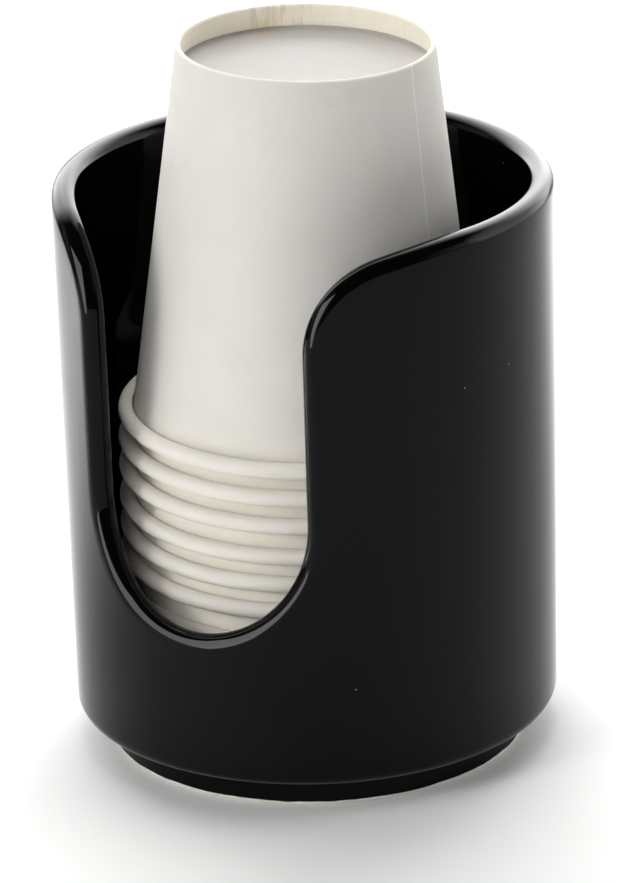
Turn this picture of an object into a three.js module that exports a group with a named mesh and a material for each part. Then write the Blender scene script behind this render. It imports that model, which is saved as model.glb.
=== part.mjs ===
// A cup dispenser: a glazed stoneware holder with an open front, and a stack of paper cups
// that stand upside down in it, one over the other.
//
// Millimetres, +Z up. The origin is the centre of the foot, on the surface it stands on.
// The cut-out faces -Y.

import * as THREE from 'three';

// Paper cup, upside down: its rolled rim is at the bottom and its recessed base at the top.
const paper = 0.3; // side wall, from the blank
const baseBoard = 0.25; // base disc and its skirt
const cupHeight = 72.9;
const lipRadius = 23.9; // outside, at the base end
const rimWallRadius = 32.6; // outside of the wall at the level of the rolled rim
const rollRadius = 1.57; // rolled rim, outside of the curl
const curlTurn = THREE.MathUtils.degToRad( 315 ); // from the wall round to the curl's free edge
const baseRecess = 5.05; // from the lip to the base disc
const glueLine = 0.05; // between the skirt of the base and the wall folded round it

// Stack of cups.
const seatClearance = 0.1; // a base disc over the lip of the cup below
const wallClearance = 0.2; // between two nested walls, or a wall and the next rolled rim
const rimClearance = 0.5; // between two rolled rims
const looseGap = 1.1; // the most that a cup sits short of its seat
const looseGapShares = [ 0, 0, 0, 0, 1, 0, 0.05, 0.64, 0.05, 0 ]; // bottom to top
const leanPerCup = THREE.MathUtils.degToRad( 0.13 );
const leanHeading = THREE.MathUtils.degToRad( 30.9 ); // from +X towards +Y
const stackOffset = 0.9; // the bottom cup stands this far off centre, away from the lean

// Stoneware holder.
const wall = 4.9;
const holderHeight = 110.1;
const cupGap = 5.1; // round the rims of the cups, at the floor
const draft = 1.15; // how much wider the body is at the rim than at its base
const floorThickness = 4.5;
const floorFillet = 4.5; // inside, where the wall meets the floor
const floorClearance = 0.05; // under the bottom cup
const bodyLift = 6.1; // from the surface to the underside of the body
const bodyCorner = 2.8; // radius round the bottom of the body
const footInset = 6.3; // the foot ring's side, in from the body's
const footWidth = 5;
const footRecess = 2.4; // depth of the hollow inside the foot ring
const footEdge = 0.6; // chamfer on both edges that touch the surface
const footFillet = 0.8; // where the foot ring meets the underside

// Cut-out, laid flat at the middle of the wall: a round-bottomed slot with wide shoulders.
const slotHalfWidth = 22.8;
const slotBottom = 34.65; // height of its lowest point
const shoulderRadius = 18.1;
const easingRadius = 86; // large arc that takes the shoulder into the rim
const easingAngle = THREE.MathUtils.degToRad( 12.4 );

// How finely curves are divided.
const cupSides = 20;
const curlSteps = 7; // outside of the rolled rim
const curlInsideSteps = 4;
const slotSteps = 7; // half of the slot's round bottom
const sideSteps = 3;
const shoulderSteps = 7;
const easingSteps = 3;
const rimSteps = 14; // half of the rest of the rim
const edgeSteps = 6; // over the rounded edge of the wall
const wallSteps = 3;
const cornerSteps = 3;

const glaze = { color: 0x0c0c0d, roughness: 0.08, metalness: 0 };
const wallPaper = { color: 0xe4dfd3, roughness: 0.85, metalness: 0 };
const basePaper = { color: 0xebe8df, roughness: 0.85, metalness: 0 };

// Worked out from the sizes above.
const taper = ( rimWallRadius - lipRadius ) / ( cupHeight - rollRadius );
const rollCentre = rimWallRadius - paper + rollRadius; // the curl starts at the wall's inside
const cupRimRadius = rollCentre + rollRadius;
const baseTop = cupHeight - baseRecess;
const nestStep = Math.max(
	baseRecess + baseBoard + seatClearance,
	( paper + wallClearance ) / taper,
	2 * rollRadius + rimClearance
);
const baseRadius = cupRimRadius + cupGap + wall;
const midRadius = baseRadius + draft - wall / 2; // where the cut-out's outline is laid flat
const floorTop = footRecess + floorThickness;
const footRadius = baseRadius - footInset;

// Outside of a cup's wall at a height above its rim.
function cupWallRadius( height ) {

	return lipRadius + taper * ( cupHeight - height );

}

// A point on a circle of the curl, in the cup's section.
function curlPoint( radius, angle ) {

	return new THREE.Vector2( rollCentre + radius * Math.cos( angle ), rollRadius + radius * Math.sin( angle ) );

}

// Side wall of a cup in one strip of paper: hem inside the lip, fold, cone, and curled rim.
function cupWallGeometry() {

	const slotTop = cupHeight - paper;
	const hemEnd = baseTop + glueLine;
	const slot = paper + glueLine + baseBoard + glueLine;
	const points = [];

	// Inner side of the strip, from the free end of the hem round to the free edge of the curl.
	points.push( new THREE.Vector2( cupWallRadius( hemEnd ) - slot, hemEnd ) );
	points.push( new THREE.Vector2( cupWallRadius( slotTop ) - slot, slotTop ) );
	points.push( new THREE.Vector2( cupWallRadius( slotTop ) - paper, slotTop ) );
	for ( let i = 0; i <= curlSteps; i ++ ) {

		points.push( curlPoint( rollRadius, Math.PI + curlTurn * i / curlSteps ) );

	}

	// Back along its outer side.
	for ( let i = curlInsideSteps; i > 0; i -- ) {

		points.push( curlPoint( rollRadius - paper, Math.PI + curlTurn * i / curlInsideSteps ) );

	}
	points.push( new THREE.Vector2( rimWallRadius, rollRadius ) );
	points.push( new THREE.Vector2( cupWallRadius( slotTop ), slotTop ) );
	points.push( new THREE.Vector2( cupWallRadius( cupHeight ) - paper, cupHeight ) );
	points.push( new THREE.Vector2( cupWallRadius( cupHeight ) - slot, cupHeight ) );
	points.push( new THREE.Vector2( cupWallRadius( slotTop ) - slot - paper, slotTop ) );
	points.push( new THREE.Vector2( cupWallRadius( hemEnd ) - slot - paper, hemEnd ) );
	points.push( points[ 0 ].clone() );

	return new THREE.LatheGeometry( points, cupSides ).rotateX( Math.PI / 2 );

}

// Base of a cup: a disc whose skirt stands in the slot of the hem.
function cupBaseGeometry() {

	const skirtTop = cupHeight - paper - glueLine;
	const discUnder = baseTop - baseBoard;
	const inset = paper + glueLine;
	const points = [
		new THREE.Vector2( 0, discUnder ),
		new THREE.Vector2( cupWallRadius( discUnder ) - inset, discUnder ),
		new THREE.Vector2( cupWallRadius( skirtTop ) - inset, skirtTop ),
		new THREE.Vector2( cupWallRadius( skirtTop ) - inset - baseBoard, skirtTop ),
		new THREE.Vector2( cupWallRadius( baseTop ) - inset - baseBoard, baseTop ),
		new THREE.Vector2( 0, baseTop )
	];

	return new THREE.LatheGeometry( points, cupSides ).rotateX( Math.PI / 2 );

}

// One cup, standing on its rolled rim at the group's origin.
function makeCup( number ) {

	const cup = new THREE.Group();
	const side = new THREE.Mesh( cupWallGeometry(), new THREE.MeshStandardMaterial( wallPaper ) );
	side.name = `cup_${ number }_wall`;
	const base = new THREE.Mesh( cupBaseGeometry(), new THREE.MeshStandardMaterial( basePaper ) );
	base.name = `cup_${ number }_base`;
	cup.add( side, base );
	return cup;

}

// The stack: each cup is carried by the one below and leans a little more.
function makeStack() {

	const away = new THREE.Vector2( Math.cos( leanHeading ), Math.sin( leanHeading ) );
	const leanAxis = new THREE.Vector3( - away.y, away.x, 0 );
	const bottom = makeCup( 1 );
	bottom.position.set( - stackOffset * away.x, - stackOffset * away.y, floorTop + floorClearance );

	let below = bottom;
	looseGapShares.forEach( ( share, index ) => {

		const cup = makeCup( index + 2 );
		cup.position.z = nestStep + looseGap * share;
		cup.quaternion.setFromAxisAngle( leanAxis, leanPerCup );
		below.add( cup );
		below = cup;

	} );
	return bottom;

}

// Outside of the holder's body at a height.
function bodyRadius( height ) {

	return baseRadius + draft * height / holderHeight;

}

// Right half of the wall's top edge, laid flat, from the lowest point of the cut-out to the back.
// x is the distance round the wall and y the height; the normal points out of the material.
function halfEdge() {

	const edge = [];
	const add = ( x, y, normalX, normalY ) => edge.push( {
		point: new THREE.Vector2( x, y ),
		normal: new THREE.Vector2( normalX, normalY )
	} );
	const slotCentre = slotBottom + slotHalfWidth;
	const easingX = slotHalfWidth + shoulderRadius * ( 1 - Math.sin( easingAngle ) ) + easingRadius * Math.sin( easingAngle );
	const easingY = holderHeight - easingRadius;
	const shoulderX = slotHalfWidth + shoulderRadius;
	const shoulderY = easingY + ( easingRadius - shoulderRadius ) * Math.cos( easingAngle );

	for ( let i = 0; i < slotSteps; i ++ ) {

		const angle = Math.PI / 2 * i / slotSteps;
		add( slotHalfWidth * Math.sin( angle ), slotCentre - slotHalfWidth * Math.cos( angle ), - Math.sin( angle ), Math.cos( angle ) );

	}
	for ( let i = 0; i < sideSteps; i ++ ) {

		add( slotHalfWidth, THREE.MathUtils.lerp( slotCentre, shoulderY, i / sideSteps ), - 1, 0 );

	}
	for ( let i = 0; i < shoulderSteps; i ++ ) {

		const angle = THREE.MathUtils.lerp( Math.PI, Math.PI / 2 + easingAngle, i / shoulderSteps );
		const across = Math.cos( angle );
		const up = Math.sin( angle );
		add( shoulderX + shoulderRadius * across, shoulderY + shoulderRadius * up, across, up );

	}
	for ( let i = 0; i < easingSteps; i ++ ) {

		const angle = easingAngle * ( 1 - i / easingSteps );
		const across = - Math.sin( angle );
		const up = Math.cos( angle );
		add( easingX + easingRadius * across, easingY + easingRadius * up, across, up );

	}
	const back = Math.PI * midRadius;
	for ( let i = 0; i <= rimSteps; i ++ ) {

		add( THREE.MathUtils.lerp( easingX, back, i / rimSteps ), holderHeight, 0, 1 );

	}
	return { edge, easingX };

}

// The holder: one closed skin whose columns run from the middle of the underside, out round the
// foot and up the outside, over the rounded edge, and down the inside to the middle of the floor.
function holderGeometry() {

	const { edge, easingX } = halfEdge();
	const half = wall / 2;
	const cutSteps = slotSteps + sideSteps + shoulderSteps + easingSteps;
	const slotFoot = slotHalfWidth + half; // below the slot's straight side, at the middle of the edge
	const cornerBottom = bodyLift + bodyCorner;
	const filletTop = floorTop + floorFillet;
	const columns = [];

	edge.forEach( ( { point, normal }, index ) => {

		let lowX = point.x;
		if ( index < slotSteps ) lowX = slotFoot * index / slotSteps;
		else if ( index < cutSteps ) lowX = THREE.MathUtils.mapLinear( index, slotSteps, cutSteps, slotFoot, easingX );
		columns.push( { point, normal, lowX } );

	} );
	for ( let index = edge.length - 2; index > 0; index -- ) {

		const { point, normal, lowX } = columns[ index ];
		columns.push( {
			point: new THREE.Vector2( - point.x, point.y ),
			normal: new THREE.Vector2( - normal.x, normal.y ),
			lowX: - lowX
		} );

	}

	// A column's rings, as distance round, distance out and height.
	function columnRings( { point, normal, lowX } ) {

		const rings = [];
		const add = ( around, out, height ) => rings.push( { around, out, height } );
		const middle = point.clone().addScaledVector( normal, - half );
		const outside = bodyRadius( cornerBottom );
		const inside = bodyRadius( filletTop ) - wall;

		const footInner = footRadius - footWidth;
		add( lowX, footInner, footRecess );
		add( lowX, footInner, footEdge );
		add( lowX, footInner + footEdge, 0 );
		add( lowX, footRadius - footEdge, 0 );
		add( lowX, footRadius, footEdge );
		add( lowX, footRadius, bodyLift - footFillet );
		add( lowX, footRadius + footFillet, bodyLift );
		for ( let i = 0; i < cornerSteps; i ++ ) {

			const angle = Math.PI / 2 * ( i / cornerSteps - 1 );
			add( lowX, outside + bodyCorner * ( Math.cos( angle ) - 1 ), cornerBottom + bodyCorner * Math.sin( angle ) );

		}
		for ( let i = 0; i < wallSteps; i ++ ) {

			const height = THREE.MathUtils.lerp( cornerBottom, middle.y, i / wallSteps );
			add( THREE.MathUtils.lerp( lowX, middle.x, i / wallSteps ), bodyRadius( height ), height );

		}
		for ( let i = 0; i <= edgeSteps; i ++ ) {

			const angle = Math.PI * ( 1 / 2 - i / edgeSteps );
			const place = middle.clone().addScaledVector( normal, half * Math.cos( angle ) );
			add( place.x, bodyRadius( place.y ) - half + half * Math.sin( angle ), place.y );

		}
		for ( let i = 1; i <= wallSteps; i ++ ) {

			const height = THREE.MathUtils.lerp( middle.y, filletTop, i / wallSteps );
			add( THREE.MathUtils.lerp( middle.x, lowX, i / wallSteps ), bodyRadius( height ) - wall, height );

		}
		for ( let i = 1; i <= cornerSteps; i ++ ) {

			const angle = - Math.PI / 2 * i / cornerSteps;
			add( lowX, inside + floorFillet * ( Math.cos( angle ) - 1 ), filletTop + floorFillet * Math.sin( angle ) );

		}
		return rings;

	}

	const grid = columns.map( columnRings );
	const ringCount = grid[ 0 ].length;
	const positions = [ 0, 0, footRecess, 0, 0, floorTop ];
	grid.forEach( ( rings ) => rings.forEach( ( { around, out, height } ) => {

		const angle = around / midRadius - Math.PI / 2;
		positions.push( out * Math.cos( angle ), out * Math.sin( angle ), height );

	} ) );

	const indices = [];
	const at = ( column, ring ) => 2 + ( column % grid.length ) * ringCount + ring;
	for ( let column = 0; column < grid.length; column ++ ) {

		indices.push( 0, at( column + 1, 0 ), at( column, 0 ) );
		for ( let ring = 0; ring < ringCount - 1; ring ++ ) {

			const a = at( column, ring );
			const b = at( column + 1, ring );
			const c = at( column + 1, ring + 1 );
			const d = at( column, ring + 1 );
			indices.push( a, b, c, a, c, d );

		}
		indices.push( 1, at( column, ringCount - 1 ), at( column + 1, ringCount - 1 ) );

	}

	const geometry = new THREE.BufferGeometry();
	geometry.setAttribute( 'position', new THREE.Float32BufferAttribute( positions, 3 ) );
	geometry.setIndex( indices );
	geometry.computeVertexNormals();
	return geometry;

}

function makeHolder() {

	const holder = new THREE.Mesh( holderGeometry(), new THREE.MeshStandardMaterial( glaze ) );
	holder.name = 'holder';
	return holder;

}

const dispenser = new THREE.Group();
dispenser.add( makeHolder(), makeStack() );

export default dispenser;
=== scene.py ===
import math

import bmesh
import bpy
from mathutils import Matrix, Vector, noise


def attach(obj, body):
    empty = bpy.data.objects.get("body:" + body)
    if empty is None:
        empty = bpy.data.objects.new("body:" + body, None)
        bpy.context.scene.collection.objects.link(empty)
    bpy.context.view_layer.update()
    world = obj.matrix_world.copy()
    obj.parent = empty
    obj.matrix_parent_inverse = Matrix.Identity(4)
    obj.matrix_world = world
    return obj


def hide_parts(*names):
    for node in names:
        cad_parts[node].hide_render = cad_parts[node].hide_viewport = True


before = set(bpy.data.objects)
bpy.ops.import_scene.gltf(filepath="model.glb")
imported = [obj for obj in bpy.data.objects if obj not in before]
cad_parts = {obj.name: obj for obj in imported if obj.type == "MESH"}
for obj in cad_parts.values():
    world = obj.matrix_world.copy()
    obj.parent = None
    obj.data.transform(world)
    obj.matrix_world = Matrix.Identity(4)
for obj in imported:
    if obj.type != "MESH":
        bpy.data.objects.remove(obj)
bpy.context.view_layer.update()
mm = 0.001
weld = 0.001 * mm  # points closer than this are one
near = 0.01 * mm  # a point this close to a line counts as on it
up = Vector((0, 0, 1))
rightAngle = math.pi / 2


def linearColour(code):
    # an sRGB hex value as the linear colour that a socket takes
    parts = [int(code[i:i + 2], 16) / 255 for i in (0, 2, 4)]
    return [p / 12.92 if p <= 0.04045 else ((p + 0.055) / 1.055) ** 2.4 for p in parts] + [1]


def clamp(value):
    return min(1, max(0, value))


def quarterTurn(rows):
    # the angles of the rows that go round a right angle, without the first
    return [rightAngle * step / rows for step in range(1, rows + 1)]


def addNode(tree, kind, settings=None, inputs=None):
    # one node; an input is a value, or the output of another node
    node = tree.nodes.new(kind)
    for name, value in (settings or {}).items():
        setattr(node, name, value)
    for name, value in (inputs or {}).items():
        if isinstance(value, bpy.types.NodeSocket):
            tree.links.new(value, node.inputs[name])
        else:
            node.inputs[name].default_value = value
    return node


def newMaterial(name):
    material = bpy.data.materials.new(name)
    material.use_nodes = True
    material.node_tree.nodes.clear()
    return material, material.node_tree


def placePiece(mesh, name, material, body, node):
    # a finished bmesh as a smooth piece that stands for a CAD node and moves with its body
    data = bpy.data.meshes.new(name)
    mesh.to_mesh(data)
    mesh.free()
    for face in data.polygons:
        face.use_smooth = True
    data.materials.append(material)
    piece = bpy.data.objects.new(name, data)
    bpy.context.scene.collection.objects.link(piece)
    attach(piece, body)
    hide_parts(node)
    return piece


view = {
    "heading": math.radians(30.88),  # from the middle of the cut-out round to the camera
    "elevation": 0.4133,  # in radians, as are the three turns off the line to the aim point
    "pan": 0.0015, "tilt": 0.0422, "roll": 0.0289,
    "distance": 1247.2 * mm,
    "aimHeight": 0.6 * mm,
    "sensor": 36,  # millimetres along the long side of the picture
    "framePixels": 883, "focalPixels": 6533.9,  # that side, and the focal length in the same pixels
    "clipStart": 10 * mm,
}


def makeCamera():
    place = Vector((0, -math.cos(view["elevation"]), math.sin(view["elevation"]))) * view["distance"]
    forward = -place.normalized()
    right = Vector((1, 0, 0))
    above = right.cross(forward)
    forward = (forward + view["pan"] * right + view["tilt"] * above).normalized()
    right = forward.cross(up).normalized()
    above = right.cross(forward)
    roll = Matrix.Rotation(view["roll"], 3, forward)
    right, above = roll @ right, roll @ above
    turn = Matrix((right, above, -forward)).transposed().to_4x4()
    camera = bpy.data.objects.new("camera", bpy.data.cameras.new("camera"))
    camera.data.lens = view["focalPixels"] * view["sensor"] / view["framePixels"]
    camera.data.sensor_width = view["sensor"]
    camera.data.clip_start = view["clipStart"]
    bpy.context.scene.collection.objects.link(camera)
    around = Matrix.Rotation(view["heading"], 4, "Z")
    camera.matrix_world = around @ Matrix.Translation(place + up * view["aimHeight"]) @ turn
    bpy.context.scene.camera = camera


studio = {
    "floorSize": 1.3, "floorCells": 4,
    "floorColour": "f2f2f1", "floorRoughness": 0.9, "floorGloss": 0.1,
    "roomGlow": 0.02,  # what the glaze sees where no panel stands
    "roomColour": "ffffff",
    "backdrop": 1.0,
    # every panel faces the holder, and headings go round from the camera to its right, in degrees:
    # heading, elevation, distance, width, height and brightness, and for some cards also how far they are
    # moved up on their own plane, the soft share of their edge, and how far they are moved to the right
    "softLights": {  # these light the scene and don't show in the glaze
        "key": (-51, 25, 1.1, 0.3, 0.3, 12.6),
        "keyLeft": (-70, 28, 1.1, 0.5, 0.5, 1.4),
        "keyHigh": (-35, 45, 1.1, 0.6, 0.5, 1.8),
        "front": (-10, 22, 1.1, 0.5, 0.4, 4.0),
        "rightFill": (100, 20, 1.2, 0.8, 0.8, 2.8),
        "behind": (180, 30, 1.5, 2.2, 1.2, 5.45),
        "overheadBack": (180, 79, 1.2, 0.45, 0.45, 4.8),
        "overhead": (0, 89, 1.2, 0.5, 0.5, 1.7),
    },
    "mirrorCards": {  # these show in the glaze and light nothing
        "nearCard": (-37, 60, 0.2, 0.1, 0.35, 11.0, -0.195, 0, -0.045),
        "keyCard": (-57, 5, 1.2, 1.5, 1.1, 1.55, 0, 0.8),
        "leftCard": (-100, 20, 1.2, 1.0, 1.2, 0.58, 0, 0.8),
        "backLeftCard": (-148, 33, 1.2, 1.5, 2.3, 6.3, 0, 0.9),
        "backLeftLowCard": (-160, 12, 1.2, 0.8, 0.6, 1.0, 0, 0.8),
        "backRightCard": (165, 36, 1.2, 1.9, 2.6, 7.4, 0, 0.95),
        "backRightLowCard": (135, 10, 1.2, 0.9, 0.7, 1.5, 0, 0.8),
        "rightCard": (112, 12, 1.2, 1.9, 1.9, 2.3, 0, 0.4),
        "frontRightCard": (80, 12, 1.2, 1.6, 1.2, 1.1, 0, 0.9),
    },
    # small gridded lamps that hang over the floor beside the holder; the glaze sees the pools they make:
    # heading, distance from the holder's axis, height, size, brightness
    "poolLamps": {"leftPool": (-110, 0.3, 0.5, 0.2, 6.0), "rightPool": (155, 0.33, 0.5, 0.2, 1.2)},
    "poolSpread": math.radians(30),
}


def addPanel(name, heading, elevation, distance, width, height, brightness,
             raised=0, fade=0, aside=0, mirrored=False):
    # an area light that faces the holder; fade is the share of its radius over which it grows dim
    lamp = bpy.data.lights.new(name, "AREA")
    lamp.shape = "ELLIPSE" if fade else "RECTANGLE"
    lamp.size, lamp.size_y = width, height
    lamp.energy = brightness * math.pi * width * height
    if fade:
        # places on a panel run from 0 to 1 both ways, so its edge is half a unit from its middle
        lamp.use_nodes = True
        tree = lamp.node_tree
        tree.nodes.clear()
        spot = addNode(tree, "ShaderNodeNewGeometry")
        radius = addNode(tree, "ShaderNodeVectorMath", {"operation": "DISTANCE"}, {
            0: spot.outputs["Parametric"], 1: (0.5, 0.5, 0)})
        glow = addNode(tree, "ShaderNodeMapRange", {"interpolation_type": "SMOOTHSTEP"}, {
            "Value": radius.outputs["Value"], "From Min": 0.5 * (1 - fade), "From Max": 0.5,
            "To Min": 1.0, "To Max": 0.0})
        cloth = addNode(tree, "ShaderNodeEmission", inputs={"Strength": glow.outputs[0]})
        addNode(tree, "ShaderNodeOutputLight", inputs={"Surface": cloth.outputs[0]})
    panel = bpy.data.objects.new(name, lamp)
    panel.visible_camera = False
    panel.visible_glossy = mirrored
    panel.visible_diffuse = not mirrored
    bpy.context.scene.collection.objects.link(panel)
    around = Matrix.Rotation(view["heading"] + math.radians(heading), 4, "Z")
    lift = Matrix.Rotation(rightAngle - math.radians(elevation), 4, "X")
    panel.matrix_world = around @ lift @ Matrix.Translation((aside, raised, distance))
    return panel


def makeStudio():
    mesh = bmesh.new()
    cells = studio["floorCells"]
    bmesh.ops.create_grid(mesh, x_segments=cells, y_segments=cells, size=studio["floorSize"] / 2)
    data = bpy.data.meshes.new("floor")
    mesh.to_mesh(data)
    mesh.free()
    floor = bpy.data.objects.new("floor", data)
    bpy.context.scene.collection.objects.link(floor)
    material, tree = newMaterial("matt white card")
    bsdf = addNode(tree, "ShaderNodeBsdfPrincipled", inputs={
        "Base Color": linearColour(studio["floorColour"]), "Roughness": studio["floorRoughness"],
        "Specular IOR Level": studio["floorGloss"]})
    addNode(tree, "ShaderNodeOutputMaterial", inputs={"Surface": bsdf.outputs[0]})
    data.materials.append(material)

    for name, settings in studio["softLights"].items():
        addPanel(name, *settings)
    for name, settings in studio["mirrorCards"].items():
        addPanel(name, *settings, mirrored=True)
    for name, (heading, away, height, size, brightness) in studio["poolLamps"].items():
        panel = addPanel(name, heading, 90, height, size, size, brightness, raised=-away)
        panel.data.spread = studio["poolSpread"]

    # the camera sees a white room, and the glaze a dark one
    world = bpy.data.worlds.new("studio")
    world.use_nodes = True
    tree = world.node_tree
    tree.nodes.clear()
    ray = addNode(tree, "ShaderNodeLightPath")
    glow = addNode(tree, "ShaderNodeMath", {"operation": "MULTIPLY"}, {
        0: ray.outputs["Is Glossy Ray"], 1: studio["roomGlow"]})
    strength = addNode(tree, "ShaderNodeMath", {"operation": "MULTIPLY_ADD"}, {
        0: ray.outputs["Is Camera Ray"], 1: studio["backdrop"], 2: glow.outputs[0]})
    room = addNode(tree, "ShaderNodeBackground", inputs={
        "Color": linearColour(studio["roomColour"]), "Strength": strength.outputs[0]})
    addNode(tree, "ShaderNodeOutputWorld", inputs={"Surface": room.outputs[0]})
    bpy.context.scene.world = world
    bpy.context.scene.view_settings.view_transform = "Standard"


makeCamera()
makeStudio()
print("camera, light and floor are in place")


glaze = {
    "colours": ("030303", "060607"), "patches": 9 * mm,  # a little paler in patches
    "roughness": 0.045,
    "ior": 1.2,  # a glaze has about 1.5; lower here, to match how little of the room this one mirrors
    "waviness": 14 * mm, "wavinessDepth": 0.02 * mm,
    "clayColours": ("cfcac0", "e9e6e0"), "clayRoughness": 0.85, "clayGrain": 0.5 * mm,
    # the highest that bare clay shows, and how far down and over what length its edge wanders
    "bareHeight": 0.95 * mm, "bareBlur": 0.12 * mm, "bareDip": 0.5 * mm, "bareSway": 6 * mm,
    "dustSpacing": 9 * mm, "dustSize": 0.12 * mm, "dustCore": 0.6,  # the core is the part without blur
}


def makeGlaze():
    # Black glazed stoneware, dipped and fired: a thick glass, a little wavy, that mirrors the room. It is
    # wiped off the foot, where the clay is pale, matt and grainy, and a few grains of dust lie on it.
    material, tree = newMaterial("black glazed stoneware")
    place = addNode(tree, "ShaderNodeTexCoord")
    split = addNode(tree, "ShaderNodeSeparateXYZ", inputs={"Vector": place.outputs["Object"]})
    sway = addNode(tree, "ShaderNodeTexNoise", inputs={
        "Vector": place.outputs["Object"], "Scale": 1 / glaze["bareSway"], "Detail": 2.0})
    edge = addNode(tree, "ShaderNodeMath", {"operation": "MULTIPLY_ADD"}, {
        0: sway.outputs[0], 1: glaze["bareDip"], 2: split.outputs["Z"]})
    bare = addNode(tree, "ShaderNodeMapRange", inputs={
        "Value": edge.outputs[0], "From Min": glaze["bareHeight"],
        "From Max": glaze["bareHeight"] + glaze["bareBlur"], "To Min": 1.0, "To Max": 0.0})
    patches = addNode(tree, "ShaderNodeTexNoise", inputs={
        "Vector": place.outputs["Object"], "Scale": 1 / glaze["patches"], "Detail": 3.0})
    tone = addNode(tree, "ShaderNodeMix", {"data_type": "RGBA"}, {
        0: patches.outputs[0],
        6: linearColour(glaze["colours"][0]), 7: linearColour(glaze["colours"][1])})
    grain = addNode(tree, "ShaderNodeTexNoise", inputs={
        "Vector": place.outputs["Object"], "Scale": 1 / glaze["clayGrain"], "Detail": 4.0})
    clay = addNode(tree, "ShaderNodeMix", {"data_type": "RGBA"}, {
        0: grain.outputs[0],
        6: linearColour(glaze["clayColours"][0]), 7: linearColour(glaze["clayColours"][1])})
    specks = addNode(tree, "ShaderNodeTexVoronoi", inputs={
        "Vector": place.outputs["Object"], "Scale": 1 / glaze["dustSpacing"]})
    dust = addNode(tree, "ShaderNodeMapRange", inputs={
        "Value": specks.outputs["Distance"], "From Min": glaze["dustSize"] / glaze["dustSpacing"],
        "From Max": glaze["dustCore"] * glaze["dustSize"] / glaze["dustSpacing"]})
    bareOrDusty = addNode(tree, "ShaderNodeMath", {"operation": "MAXIMUM"}, {
        0: bare.outputs[0], 1: dust.outputs[0]})
    colour = addNode(tree, "ShaderNodeMix", {"data_type": "RGBA"}, {
        0: bareOrDusty.outputs[0], 6: tone.outputs[2], 7: clay.outputs[2]})
    rough = addNode(tree, "ShaderNodeMapRange", inputs={
        "Value": bareOrDusty.outputs[0], "To Min": glaze["roughness"], "To Max": glaze["clayRoughness"]})
    ripple = addNode(tree, "ShaderNodeTexNoise", inputs={
        "Vector": place.outputs["Object"], "Scale": 1 / glaze["waviness"], "Detail": 1.0})
    bump = addNode(tree, "ShaderNodeBump", inputs={
        "Strength": 1.0, "Distance": glaze["wavinessDepth"], "Height": ripple.outputs[0]})
    bsdf = addNode(tree, "ShaderNodeBsdfPrincipled", inputs={
        "Base Color": colour.outputs[2], "Roughness": rough.outputs[0],
        "IOR": glaze["ior"], "Normal": bump.outputs[0]})
    addNode(tree, "ShaderNodeOutputMaterial", inputs={"Surface": bsdf.outputs[0]})
    return material


holder = {
    "height": 110.1 * mm,
    "baseRadius": 45.44 * mm,  # outside, at the level of the table
    "draft": 1.15 * mm,  # wider than that at the rim
    "wall": 4.9 * mm,
    "bodyLift": 6.1 * mm, "bodyCorner": 2.8 * mm,
    "floorTop": 6.9 * mm, "floorFillet": 4.5 * mm,
    "footRadius": 39.14 * mm, "footWidth": 5 * mm, "footRecess": 2.4 * mm,
    "footEdge": 0.6 * mm, "footFillet": 0.8 * mm,
    "footBand": 0.69 * mm,  # a row just over the rounded edge of the foot keeps it crisp
    # the cut-out, laid flat at the middle of the wall
    "slotHalfWidth": 22.8 * mm, "slotBottom": 34.65 * mm,
    "shoulderRadius": 18.1 * mm, "easingRadius": 86 * mm, "easingAngle": math.radians(12.4),
    "columns": {"slot": 36, "side": 16, "shoulder": 28, "easing": 16, "rim": 56},
    "edgeRows": 20, "wallRows": 26, "cornerRows": 8, "footRows": 4,
    "floorShares": (0.85, 0.7, 0.55, 0.4, 0.25, 0.12, 0),  # rows of the floor, as shares of the way out
    "recessShares": (0.8, 0.6, 0.4, 0.2, 0),
    # how far in the thrown and sponged surface wanders, and over what length
    "handFinish": 0.05 * mm, "finishScale": 28 * mm,
}
midRadius = holder["baseRadius"] + holder["draft"] - holder["wall"] / 2


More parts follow.
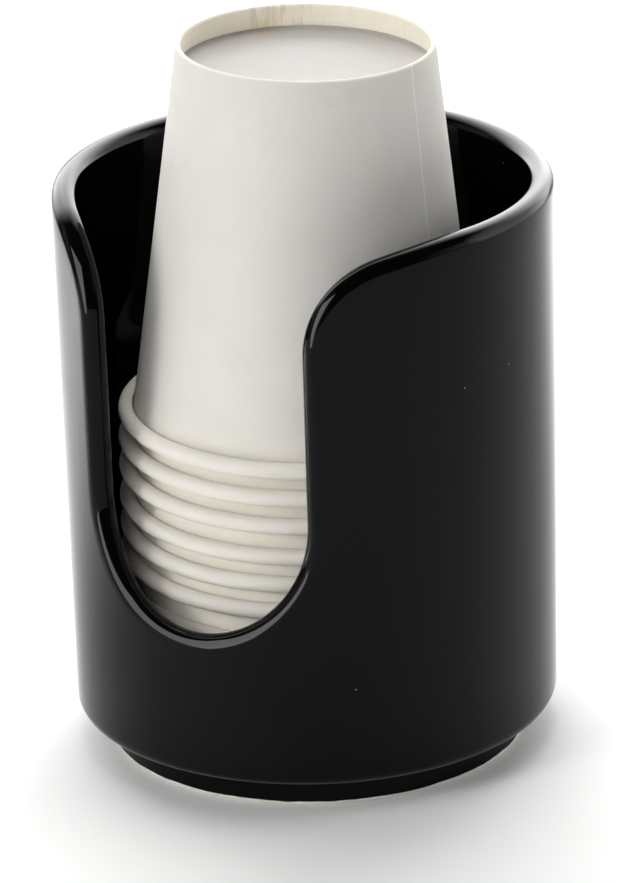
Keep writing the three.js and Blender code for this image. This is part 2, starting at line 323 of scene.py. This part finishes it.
def drawEdge(mesh):
    # The middle line of the wall's top edge, laid flat: x is the distance round the wall, z the height.
    # Every point keeps the direction out of the wall, and the x that its column has at the foot.
    half = holder["wall"] / 2
    steps = holder["columns"]
    outward = mesh.verts.layers.float_vector.new("outward")
    footX = mesh.verts.layers.float.new("footX")
    angle = holder["easingAngle"]
    beyond = holder["easingRadius"] - holder["shoulderRadius"]
    easingHeight = holder["height"] - holder["easingRadius"]
    slotCentre = Vector((0, 0, holder["slotBottom"] + holder["slotHalfWidth"]))
    shoulderCentre = Vector((
        holder["slotHalfWidth"] + holder["shoulderRadius"], 0, easingHeight + beyond * math.cos(angle)))
    easingCentre = Vector((shoulderCentre.x + beyond * math.sin(angle), 0, easingHeight))

    line = [mesh.verts.new((0, 0, holder["slotBottom"] - half))]
    line[0][outward] = up

    def turn(centre, angle, count, side):
        bmesh.ops.spin(mesh, geom=[line[-1]], cent=centre, axis=(0, 1, 0), angle=angle, steps=count)
        mesh.verts.ensure_lookup_table()
        made = list(mesh.verts)[-count:]
        for vert in made:
            vert[outward] = side * (vert.co - centre).normalized()
        line.extend(made)

    def runTo(x, z, count):
        start, end = line[-1].co.copy(), Vector((x, 0, z))
        for step in range(1, count + 1):
            made = bmesh.ops.extrude_vert_indiv(mesh, verts=[line[-1]])["verts"][0]
            made.co = start.lerp(end, step / count)
            line.append(made)

    turn(slotCentre, -rightAngle, steps["slot"], -1)
    runTo(line[-1].co.x, shoulderCentre.z, steps["side"])
    turn(shoulderCentre, rightAngle - angle, steps["shoulder"], 1)
    turn(easingCentre, angle, steps["easing"], 1)
    cut = len(line) - 1
    slot = steps["slot"]
    slotFoot = holder["slotHalfWidth"] + half
    runTo(math.pi * midRadius, line[-1].co.z, steps["rim"])
    for place, vert in enumerate(line):
        if place < slot:
            vert[footX] = slotFoot * place / slot
        elif place < cut:
            vert[footX] = slotFoot + (easingCentre.x - slotFoot) * (place - slot) / (cut - slot)
        else:
            vert[footX] = vert.co.x
    bmesh.ops.mirror(
        mesh, geom=mesh.verts[:] + mesh.edges[:], matrix=Matrix.Identity(4), merge_dist=weld, axis="X")
    for vert in mesh.verts:
        if vert.co.x < -weld:
            vert[outward].x *= -1
            vert[footX] *= -1
        if abs(vert.co.x) < weld:
            vert[footX] = 0
    return outward, footX


def bodyRadius(height):
    return holder["baseRadius"] + holder["draft"] * height / holder["height"]


def footSection():
    # under the body, over the foot ring and to the middle of its hollow, as distance out and height
    foot, edge, fillet = holder["footRadius"], holder["footEdge"], holder["footFillet"]
    lift, recess, band = holder["bodyLift"], holder["footRecess"], holder["footBand"]
    inner = foot - holder["footWidth"]
    turns = [0] + quarterTurn(holder["footRows"])
    section = [(foot + fillet * (1 - math.sin(t)), lift - fillet * (1 - math.cos(t))) for t in turns]
    section += [(foot, lift / 2), (foot, band)]
    section += [(foot - edge * (1 - math.cos(t)), edge * (1 - math.sin(t))) for t in turns]
    section += [(inner + edge * (1 - math.cos(t)), edge * (1 - math.sin(t))) for t in reversed(turns)]
    section += [(inner, band), (inner, recess - fillet)]
    section += [
        (inner - fillet * (1 - math.cos(t)), recess - fillet * (1 - math.sin(t))) for t in turns[1:]]
    section += [(inner * share, recess) for share in holder["recessShares"]]
    return section


def makeHolder(material):
    mesh = bmesh.new()
    outward, footX = drawEdge(mesh)
    middle = mesh.verts.layers.float_vector.new("middle")
    for vert in mesh.verts:
        vert[middle] = vert.co
    half = holder["wall"] / 2
    wallSteps = [1 - step / holder["wallRows"] for step in range(1, holder["wallRows"] + 1)]
    first = mesh.edges[:]

    def addRow(row, place):
        # the next row of the skin; place gives distance round, distance out and height
        made = bmesh.ops.extrude_edge_only(mesh, edges=row)["geom"]
        verts = {g for g in made if isinstance(g, bmesh.types.BMVert)}
        for vert in verts:
            vert.co = place(vert)
        return [g for g in made if isinstance(g, bmesh.types.BMEdge) and verts.issuperset(g.verts)]

    def onEdge(vert, turn):
        spot = vert[middle] + vert[outward] * half * math.cos(turn)
        return Vector((spot.x, bodyRadius(spot.z) - half + half * math.sin(turn), spot.z))

    def onWall(vert, share, bottom, inward):
        x = vert[footX] + (vert[middle].x - vert[footX]) * share
        z = bottom + (vert[middle].z - bottom) * share
        return Vector((x, bodyRadius(z) - inward, z))

    for vert in mesh.verts:
        vert.co = onEdge(vert, rightAngle)

    # over the rounded edge, down the inside of the wall and round into the floor
    radius = holder["floorFillet"]
    bottom = holder["floorTop"] + radius
    centreOut = bodyRadius(bottom) - holder["wall"] - radius
    section = [(centreOut + radius * math.cos(t), bottom - radius * math.sin(t))
               for t in quarterTurn(holder["cornerRows"])]
    section += [(centreOut * share, holder["floorTop"]) for share in holder["floorShares"]]
    row = first
    for step in range(1, holder["edgeRows"] + 1):
        row = addRow(row, lambda v: onEdge(v, rightAngle - math.pi * step / holder["edgeRows"]))
    for share in wallSteps:
        row = addRow(row, lambda v: onWall(v, share, bottom, holder["wall"]))
    for out, height in section:
        row = addRow(row, lambda v: Vector((v[footX], out, height)))

    # down the outside, round the lower corner, under the body and over the foot ring
    radius = holder["bodyCorner"]
    bottom = holder["bodyLift"] + radius
    centreOut = bodyRadius(bottom) - radius
    section = [(centreOut + radius * math.cos(t), bottom - radius * math.sin(t))
               for t in quarterTurn(holder["cornerRows"])]
    row = first
    for share in wallSteps:
        row = addRow(row, lambda v: onWall(v, share, bottom, 0))
    for out, height in section + footSection():
        row = addRow(row, lambda v: Vector((v[footX], out, height)))

    # rolled up: x becomes the angle and y the distance from the axis
    for vert in mesh.verts:
        angle = vert.co.x / midRadius
        vert.co = Vector((vert.co.y * math.sin(angle), -vert.co.y * math.cos(angle), vert.co.z))
    bmesh.ops.remove_doubles(mesh, verts=mesh.verts, dist=weld)
    bmesh.ops.recalc_face_normals(mesh, faces=mesh.faces)
    mesh.normal_update()
    for vert in mesh.verts:
        if vert.co.z > holder["footRecess"]:
            wander = (noise.noise(vert.co / holder["finishScale"]) - 1) / 2
            vert.co += vert.normal * holder["handFinish"] * wander
    placePiece(mesh, "holder_stoneware", material, "holder", "holder")


makeHolder(makeGlaze())
print("holder made")


board = {
    "wallColours": ("dcd7ce", "e2ddd5"),
    "shadedBaseColours": ("b9b6b1", "bfbcb8"),  # darker than the walls, to match the photograph's disc: painted shade on the sunk disc
    "baseShift": 0.4,  # moves the pattern on the bases, so that it isn't the wall's
    "bounceLightColour": "fdf1dc",  # painted warm bounce light, lighter and yellower than the walls: in the hem, on the rolled rims and just above them
    # the pale colour for the seam's step is a painted highlight on its cut edge
    "creaseColour": "c4b597", "seamHighlightColour": "fbfaf6",
    "glow": 0.5, "glowDepth": 1.2 * mm,  # light that soaks into the fibres and comes out beside
    "glowReach": (1, 0.9, 0.75),  # of that depth, for red, green and blue
    "roughness": 0.8, "ior": 1.45, "gloss": 0.12,
    "fibre": 0.45 * mm,  # real fibres are a tenth of this; drawn coarser so that they show
    "fibreDepth": 0.012 * mm, "fibreStrength": 0.6,
    "cloud": 7 * mm,  # cloudy formation of the sheet, seen against the light
    "fibreShare": 0.35, "mottleRange": (0.35, 1.0),  # fibres against clouds, and the levels that show
    # lengthwise creases of the curled and folded parts, and the levels of their pattern that are lines
    "crease": 1.0 * mm, "creaseLength": 10 * mm, "creaseDepth": 0.06 * mm, "creaseRange": (0.5, 0.66),
    # on the top cup, a yellow patch of painted warm bounce light low on the hem, and two faint blotches
    # under
    # the lip: place and radius in millimetres, colour, strength
    "bounceAndBlotches": [
        # the first is painted warm bounce light, the other two are blotches
        ((-16.9, 14.9, 131.2), 5.0, "d6b988", 0.5),
        ((20.1, -14.3, 133.0), 3.4, "c4ab96", 0.22),
        ((17.0, -17.6, 131.6), 2.2, "c4ab96", 0.18),
    ],
}


def makeBoard(name, colours, shift):
    # Uncoated paper board, rolled and pressed: matt, faintly cloudy and fibrous, with painted warm bounce
    # light in the hem and round the rims. Three attributes say how much of that, of darker crease streaks
    # and of the painted highlight on the seam's step each point of a piece gets.
    material, tree = newMaterial(name)
    place = addNode(tree, "ShaderNodeTexCoord")
    sheetPlace = addNode(tree, "ShaderNodeMapping", inputs={
        "Vector": place.outputs["Object"], "Location": (shift, 0, 0)})
    cloud = addNode(tree, "ShaderNodeTexNoise", inputs={
        "Vector": sheetPlace.outputs[0], "Scale": 1 / board["cloud"], "Detail": 3.0, "Roughness": 0.55})
    fibre = addNode(tree, "ShaderNodeTexNoise", inputs={
        "Vector": sheetPlace.outputs[0], "Scale": 1 / board["fibre"], "Detail": 4.0, "Roughness": 0.6})
    mottle = addNode(tree, "ShaderNodeMath", {"operation": "MULTIPLY_ADD"}, {
        0: fibre.outputs[0], 1: board["fibreShare"], 2: cloud.outputs[0]})
    level = addNode(tree, "ShaderNodeMapRange", inputs={
        "Value": mottle.outputs[0],
        "From Min": board["mottleRange"][0], "From Max": board["mottleRange"][1]})
    colour = addNode(tree, "ShaderNodeMix", {"data_type": "RGBA"}, {
        0: level.outputs[0], 6: linearColour(colours[0]), 7: linearColour(colours[1])})
    bounceAndFold = addNode(tree, "ShaderNodeAttribute", {"attribute_name": "bounceAndFold"})
    creaseStreaks = addNode(tree, "ShaderNodeAttribute", {"attribute_name": "creaseStreaks"})
    cut = addNode(tree, "ShaderNodeAttribute", {"attribute_name": "cut"})
    along = addNode(tree, "ShaderNodeMapping", inputs={
        "Vector": sheetPlace.outputs[0], "Scale": (1, 1, board["crease"] / board["creaseLength"])})
    creases = addNode(tree, "ShaderNodeTexNoise", inputs={
        "Vector": along.outputs[0], "Scale": 1 / board["crease"], "Detail": 1.5})
    lines = addNode(tree, "ShaderNodeMapRange", inputs={
        "Value": creases.outputs[0],
        "From Min": board["creaseRange"][0], "From Max": board["creaseRange"][1]})
    # darker tan streaks where the crease pattern is high, as strong as the attribute says
    streakShare = addNode(tree, "ShaderNodeMath", {"operation": "MULTIPLY"}, {
        0: lines.outputs[0], 1: creaseStreaks.outputs["Fac"]})

    # each tint goes over those before it, as far as its share says
    # the first tint is painted warm bounce light
    tints = [(bounceAndFold.outputs["Fac"], board["bounceLightColour"])]
    # then the patch of painted bounce light and the blotches
    for spot, size, tint, strength in board["bounceAndBlotches"]:
        away = addNode(tree, "ShaderNodeVectorMath", {"operation": "DISTANCE"}, {
            0: place.outputs["Object"], 1: Vector(spot) * mm})
        patch = addNode(tree, "ShaderNodeMapRange", {"interpolation_type": "SMOOTHSTEP"}, {
            "Value": away.outputs["Value"], "From Min": 0.0, "From Max": size * mm,
            "To Min": strength, "To Max": 0.0})
        uneven = addNode(tree, "ShaderNodeMath", {"operation": "MULTIPLY"}, {
            0: patch.outputs[0], 1: level.outputs[0]})
        tints.append((uneven.outputs[0], tint))
    # then the darker crease streaks, and last the painted highlight on the seam's step
    tints += [(streakShare.outputs[0], board["creaseColour"]), (cut.outputs["Fac"], board["seamHighlightColour"])]
    for share, tint in tints:
        colour = addNode(tree, "ShaderNodeMix", {"data_type": "RGBA"}, {
            0: share, 6: colour.outputs[2], 7: linearColour(tint)})

    depth = addNode(tree, "ShaderNodeMath", {"operation": "MAXIMUM"}, {
        0: bounceAndFold.outputs["Fac"], 1: creaseStreaks.outputs["Fac"]})
    creased = addNode(tree, "ShaderNodeBump", inputs={
        "Strength": depth.outputs[0], "Distance": board["creaseDepth"], "Height": creases.outputs[0]})
    bump = addNode(tree, "ShaderNodeBump", inputs={
        "Strength": board["fibreStrength"], "Distance": board["fibreDepth"],
        "Height": fibre.outputs[0], "Normal": creased.outputs[0]})
    bsdf = addNode(tree, "ShaderNodeBsdfPrincipled", inputs={
        "Base Color": colour.outputs[2], "Roughness": board["roughness"], "IOR": board["ior"],
        "Specular IOR Level": board["gloss"], "Normal": bump.outputs[0],
        "Subsurface Weight": board["glow"], "Subsurface Radius": board["glowReach"],
        "Subsurface Scale": board["glowDepth"]})
    addNode(tree, "ShaderNodeOutputMaterial", inputs={"Surface": bsdf.outputs[0]})
    return material


cup = {
    "height": 72.9 * mm, "lipRadius": 23.9 * mm, "rimWallRadius": 32.6 * mm,
    "paper": 0.3 * mm, "baseBoard": 0.25 * mm, "glueLine": 0.05 * mm,
    "rollRadius": 1.57 * mm, "baseRecess": 5.05 * mm,
    "columns": 128,
}
stack = {
    "floorClearance": 0.05 * mm, "nestStep": 5.4 * mm,
    # two cups aren't pushed home: the share of the loose gap under each cup, from the second one up
    "looseGap": 1.1 * mm, "looseGapShares": [0, 0, 0, 0, 1, 0, 0.05, 0.64, 0.05, 0],
    "leanPerCup": math.radians(0.13), "leanHeading": math.radians(30.9),
    "offset": 0.9 * mm,  # of the bottom cup from the holder's axis, against the lean
    # where each cup's side seam points, in degrees round from the middle of the cut-out, bottom to top
    "seamHeadings": [140, 205, 15, 262, 118, 301, 171, 80, 26, 236, 83.5],
}


def cupRadius(height):
    # outside of a cup's wall; the cup stands on its rolled rim
    taper = (cup["rimWallRadius"] - cup["lipRadius"]) / (cup["height"] - cup["rollRadius"])
    return cup["lipRadius"] + taper * (cup["height"] - height)


def spinSection(points, columns):
    # a line of edges through points, given as distance out and height, and spun round the axis
    mesh = bmesh.new()
    tip = mesh.verts.new((points[0][0], 0, points[0][1]))
    for out, height in points[1:]:
        tip = bmesh.ops.extrude_vert_indiv(mesh, verts=[tip])["verts"][0]
        tip.co = Vector((out, 0, height))
    bmesh.ops.spin(
        mesh, geom=mesh.verts[:] + mesh.edges[:], cent=(0, 0, 0), axis=up,
        angle=2 * math.pi, steps=columns, use_merge=True)
    bmesh.ops.remove_doubles(mesh, verts=mesh.verts, dist=weld)
    return mesh


def thicken(piece, thickness):
    layer = piece.modifiers.new("board thickness", "SOLIDIFY")
    layer.thickness, layer.offset = thickness, 0
    layer.use_even_offset = True


def cupPlaces():
    away = Vector((math.cos(stack["leanHeading"]), math.sin(stack["leanHeading"]), 0))
    leanAxis = up.cross(away)
    standing = up * (holder["floorTop"] + stack["floorClearance"])
    place = Matrix.Translation(standing - away * stack["offset"])
    places = [place]
    for share in stack["looseGapShares"]:
        step = Matrix.Translation(up * (stack["nestStep"] + stack["looseGap"] * share))
        place = place @ step @ Matrix.Rotation(stack["leanPerCup"], 4, leanAxis)
        places.append(place)
    return places


cupWall = {
    "curlTurn": math.radians(315),
    "hemLift": 0.7 * mm,  # the hem's free edge stops over the bend of the base
    "hemShare": 0.75,  # what lies further in than this share of the fold belongs to the hem
    "topColumns": 256, "hemRows": 12, "foldRows": 10, "coneRows": 22, "curlRows": 30,
    # the side seam, where the outer end of the blank laps over; columns beside its step keep it sharp
    "overlap": 5.5 * mm, "seamRise": 0.06 * mm, "seamFade": 2 * mm,
    # on the top cup the step is painted paler, a painted highlight for the light it catches
    "stepHalf": 0.1 * mm, "stepSide": 0.25 * mm, "seamHighlightTint": 0.6,
    # the hem: how deep it puckers, at least and on average, how tightly, how far the puckers lean, and
    # how far their pattern moves on from cup to cup
    "hemWrinkle": 0.12 * mm, "wrinkleLeast": 0.3, "wrinkleMean": 0.4,
    "puckers": 22, "puckerLean": 0.03, "puckerShift": 3.7,
    # on the top cup, in degrees round from the middle of the cut-out: where the hem is creased most,
    # where the end of its strip laps over, and how far both fade out
    "creased": (212, 242), "creasedFade": 10, "streakFade": 12, "lapped": (192, 205), "lapFade": 1.4,
    "lapTop": 0.1, "lapBottom": 3.2 * mm, "lapRise": 0.16 * mm,  # it starts a tenth of the way down
    # how much painted warm bounce light the board gets, and how strong its crease streaks are: in the
    # hem, on the rolled rim, and just above that rim
    "hemBounceTint": 0.95, "hemStreaks": 0.05, "creasedStreaks": 0.3, "rimBounceTint": 0.2,
    "stripBounceTint": 0.55, "topStripBounceTint": 0.2, "stripTop": 6.5 * mm, "stripFade": 1 * mm,
}
skirtSlot = cup["paper"] + cup["baseBoard"] + 2 * cup["glueLine"]  # from hem to wall, for the skirt
foldHeight = cup["height"] - skirtSlot / 2 - cup["paper"] / 2
hemEnd = cup["height"] - cup["baseRecess"] + cupWall["hemLift"]


def wallSection():
    # the middle of a strip of board: hem, fold of the lip, cone and rolled rim
    half = cup["paper"] / 2
    foldRadius = skirtSlot / 2
    foldOut = cupRadius(foldHeight) - half - foldRadius
    curlRadius = cup["rollRadius"] - half
    rollOut = cup["rimWallRadius"] - cup["paper"] + cup["rollRadius"]
    points = []
    for step in range(cupWall["hemRows"]):
        height = hemEnd + (foldHeight - hemEnd) * step / cupWall["hemRows"]
        points.append((cupRadius(height) - skirtSlot - half, height))
    for step in range(cupWall["foldRows"] + 1):
        turn = math.pi * (1 - step / cupWall["foldRows"])
        points.append((foldOut + foldRadius * math.cos(turn), foldHeight + foldRadius * math.sin(turn)))
    for step in range(1, cupWall["coneRows"]):
        height = foldHeight + (cup["rollRadius"] - foldHeight) * step / cupWall["coneRows"]
        points.append((cupRadius(height) - half, height))
    for step in range(cupWall["curlRows"] + 1):
        turn = math.pi + cupWall["curlTurn"] * step / cupWall["curlRows"]
        height = cup["rollRadius"] + curlRadius * math.sin(turn)
        points.append((rollOut + curlRadius * math.cos(turn), height))
    return points


def nearHeading(angle, ends, fade):
    # 1 between two headings, falling to 0 outside them
    heading = math.degrees(angle) % 360 + 90
    away = abs((heading - sum(ends) / 2 + 180) % 360 - 180) - (ends[1] - ends[0]) / 2
    return clamp(1 - away / fade)


def makeCupWall(number, place, material):
    top = number == len(stack["seamHeadings"])
    mesh = spinSection(wallSection(), cupWall["topColumns"] if top else cup["columns"])
    bounceAndFold = mesh.verts.layers.float.new("bounceAndFold")
    creaseStreaks = mesh.verts.layers.float.new("creaseStreaks")
    cut = mesh.verts.layers.float.new("cut")

    # the overlap of the side seam makes a step that runs from lip to rim
    heading = math.radians(stack["seamHeadings"][number - 1] - 90)
    facing = Vector((math.cos(heading), math.sin(heading), 0))
    across = Vector((math.sin(heading), -math.cos(heading), 0))
    offsets = (-cupWall["stepSide"], -cupWall["stepHalf"], cupWall["stepHalf"], cupWall["stepSide"],
               cupWall["overlap"], cupWall["overlap"] + cupWall["seamFade"])
    for offset in offsets:
        bmesh.ops.bisect_plane(
            mesh, geom=mesh.verts[:] + mesh.edges[:] + mesh.faces[:], dist=weld / 10,
            plane_co=across * offset, plane_no=across)

    for vert in mesh.verts:
        outward = Vector((vert.co.x, vert.co.y, 0))
        height = vert.co.z
        side = across.dot(vert.co)
        atSeam = facing.dot(vert.co) > 0
        move = 0
        if atSeam and side > 0:
            move = cupWall["seamRise"] * clamp(1 - (side - cupWall["overlap"]) / cupWall["seamFade"])
        # the top cup's step is painted paler: a painted highlight for the light the step catches
        if top and atSeam and abs(side) < cupWall["stepHalf"] + near:
            vert[cut] = cupWall["seamHighlightTint"]
        if outward.length < cupRadius(height) - skirtSlot * cupWall["hemShare"]:
            # pressed into a smaller circle than it was cut for, the hem puckers towards its free edge
            angle = math.atan2(vert.co.y, vert.co.x)
            depth = max(0, (foldHeight - height) / (foldHeight - hemEnd))
            lean = angle + cupWall["puckerLean"] * depth
            pucker = noise.noise(Vector((
                cupWall["puckers"] * math.cos(lean), cupWall["puckers"] * math.sin(lean),
                cupWall["puckerShift"] * number)))
            wrinkle = cupWall["wrinkleLeast"]
            # painted warm bounce light fills the hem; its crease streaks are faint
            vert[bounceAndFold] = cupWall["hemBounceTint"]
            vert[creaseStreaks] = cupWall["hemStreaks"]
            if top:
                wrinkle += nearHeading(angle, cupWall["creased"], cupWall["creasedFade"])
                # darker tan streaks along the creases, strongest where the hem is creased most
                streaksHere = nearHeading(angle, cupWall["creased"], cupWall["streakFade"])
                vert[creaseStreaks] += cupWall["creasedStreaks"] * streaksHere
                if depth > cupWall["lapTop"] and foldHeight - height < cupWall["lapBottom"]:
                    move -= cupWall["lapRise"] * nearHeading(angle, cupWall["lapped"], cupWall["lapFade"])
            move -= cupWall["hemWrinkle"] * wrinkle * math.sqrt(depth) * (cupWall["wrinkleMean"] + pucker)
        elif height < cup["rollRadius"] * 2:
            # painted warm bounce light on the rolled rim
            vert[bounceAndFold] = cupWall["rimBounceTint"]
        else:
            # painted warm bounce light in the gap just above the rim, fading upwards
            strip = clamp((cupWall["stripTop"] - height) / cupWall["stripFade"])
            vert[bounceAndFold] = strip * (cupWall["topStripBounceTint"] if top else cupWall["stripBounceTint"])
        vert.co += outward.normalized() * move
    mesh.transform(place)
    piece = placePiece(
        mesh, f"cup_{number}_side", material,
        f"cup_{number}", f"cup_{number}_wall")
    thicken(piece, cup["paper"])


cupBase = {
    "bend": 1.1 * mm,
    "skirtGap": 0.15 * mm,  # over the edge of the skirt, in the fold
    "discRows": 24, "bendRows": 8, "skirtRows": 4,
    # the disc sinks a little, unevenly, in a pattern that moves on from cup to cup
    "bow": 0.12 * mm, "bowMean": 0.6, "bowUneven": 0.8, "bowSlope": 3,
    "bowScale": 13 * mm, "bowShift": 0.03,
}


def makeCupBase(number, place, material):
    # the base disc, bent up at its edge into a skirt that stands in the fold of the hem
    half = cup["baseBoard"] / 2
    inset = cup["paper"] + cup["glueLine"] + half
    discHeight = cup["height"] - cup["baseRecess"] - half
    skirtTop = cup["height"] - cup["paper"] - cup["glueLine"] - cupBase["skirtGap"]
    bend = cupBase["bend"]
    flatRadius = cupRadius(discHeight) - inset - bend
    discRows = cupBase["discRows"]
    points = [(flatRadius * step / discRows, discHeight) for step in range(discRows + 1)]
    for turn in quarterTurn(cupBase["bendRows"]):
        points.append((flatRadius + bend * math.sin(turn), discHeight + bend * (1 - math.cos(turn))))
    for step in range(1, cupBase["skirtRows"] + 1):
        height = discHeight + bend + (skirtTop - discHeight - bend) * step / cupBase["skirtRows"]
        points.append((cupRadius(height) - inset, height))
    mesh = spinSection(points, cup["columns"])
    for vert in mesh.verts:
        inside = 1 - Vector((vert.co.x, vert.co.y, 0)).length / flatRadius
        if inside > 0:
            spot = Vector((vert.co.x, vert.co.y, number * cupBase["bowShift"]))
            bow = cupBase["bowMean"] + cupBase["bowUneven"] * noise.noise(spot / cupBase["bowScale"])
            vert.co.z -= cupBase["bow"] * clamp(inside * cupBase["bowSlope"]) * bow
    mesh.transform(place)
    piece = placePiece(
        mesh, f"cup_{number}_bottom", material,
        f"cup_{number}", f"cup_{number}_base")
    thicken(piece, cup["baseBoard"])


wallBoard = makeBoard("wrapped paper board", board["wallColours"], 0)
# the bases take the darker copy of the board, whose colours are painted shade
baseBoard = makeBoard("pressed paper board, painted shade", board["shadedBaseColours"], board["baseShift"])
for number, place in enumerate(cupPlaces(), 1):
    makeCupWall(number, place, wallBoard)
    makeCupBase(number, place, baseBoard)
print("eleven cups stacked")
